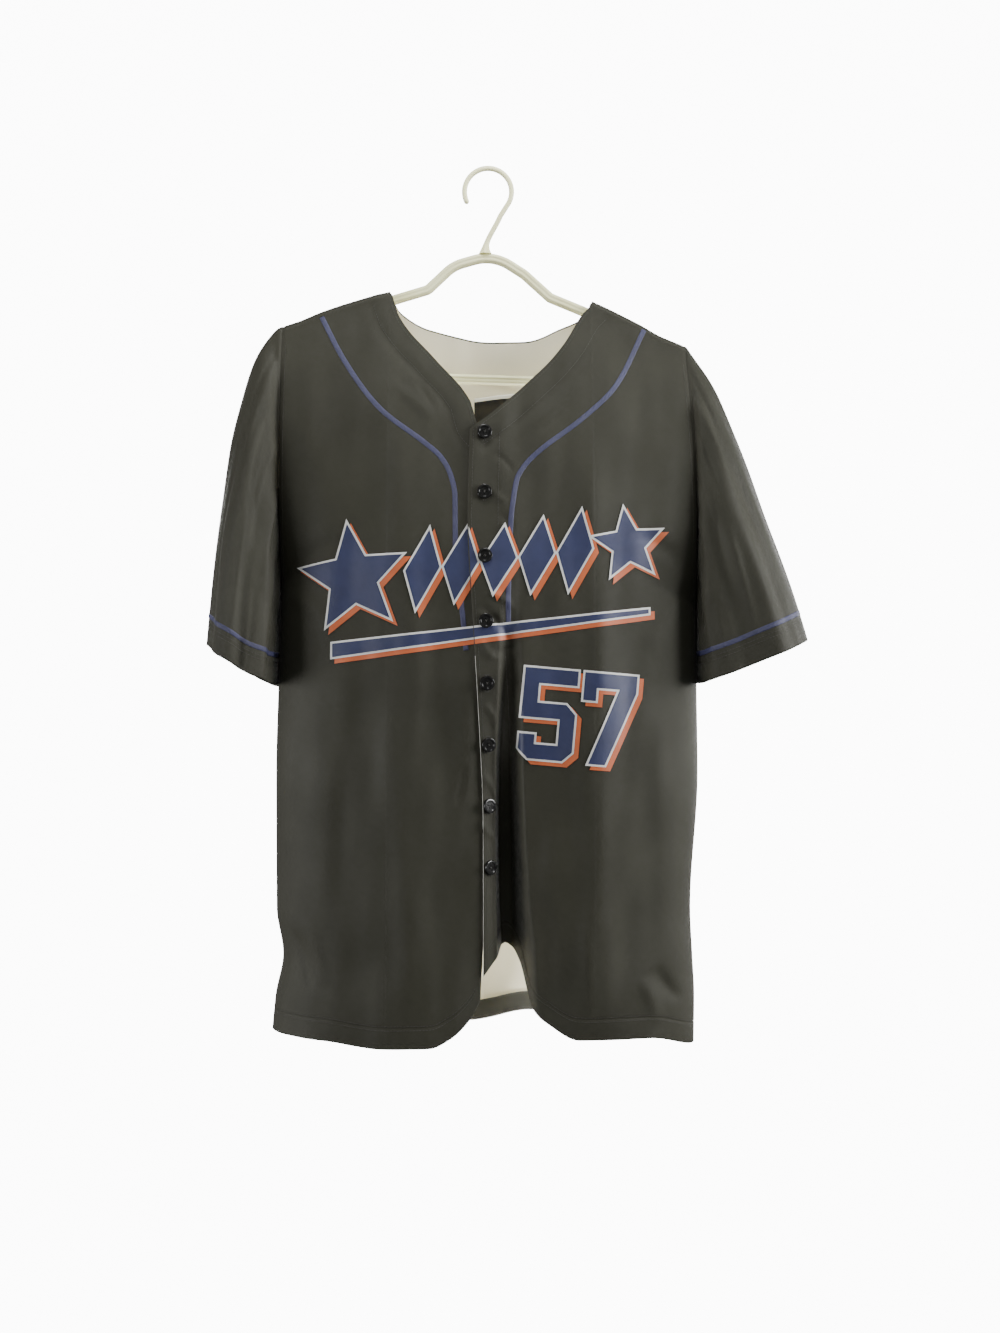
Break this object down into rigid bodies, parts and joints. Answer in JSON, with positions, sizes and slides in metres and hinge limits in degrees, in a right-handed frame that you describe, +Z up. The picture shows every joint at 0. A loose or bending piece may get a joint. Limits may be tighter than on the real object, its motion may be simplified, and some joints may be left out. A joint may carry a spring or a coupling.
{
  "type": "baseball jersey on a clothes hanger",
  "caption": "Short-sleeved button-front baseball jersey hanging open and empty on a moulded clothes hanger, with front braids and cuff rings.",
  "frame": {"origin": "inner top of the hook, where it hangs on a rod", "axes": "+Z up, front of the jersey faces -Y, +X to the viewer's right (the wearer's left)"},
  "size_m": [0.592, 0.1602, 0.8736],
  "materials": {
    "jersey_cloth": "smooth polyester knit, olive black outside and white inside",
    "blue_braid": "flat woven braid",
    "button_plastic": "glossy",
    "label_satin": "woven satin",
    "cream_plastic": "satin cream moulding"
  },
  "bodies": {
    "root": {"back": "jersey_cloth", "right_front": "jersey_cloth", "left_front": "jersey_cloth", "right_sleeve": "jersey_cloth", "left_sleeve": "jersey_cloth", "right_front_braid": "blue_braid", "left_front_braid": "blue_braid", "right_sleeve_braid": "blue_braid", "left_sleeve_braid": "blue_braid", "button_1": "button_plastic", "button_2": "button_plastic", "button_3": "button_plastic", "button_4": "button_plastic", "button_5": "button_plastic", "button_6": "button_plastic", "button_7": "button_plastic", "button_8": "button_plastic", "neck_label": "label_satin", "hanger": "cream_plastic", "hanger_hook": "cream_plastic"}
  },
  "joints": []
}
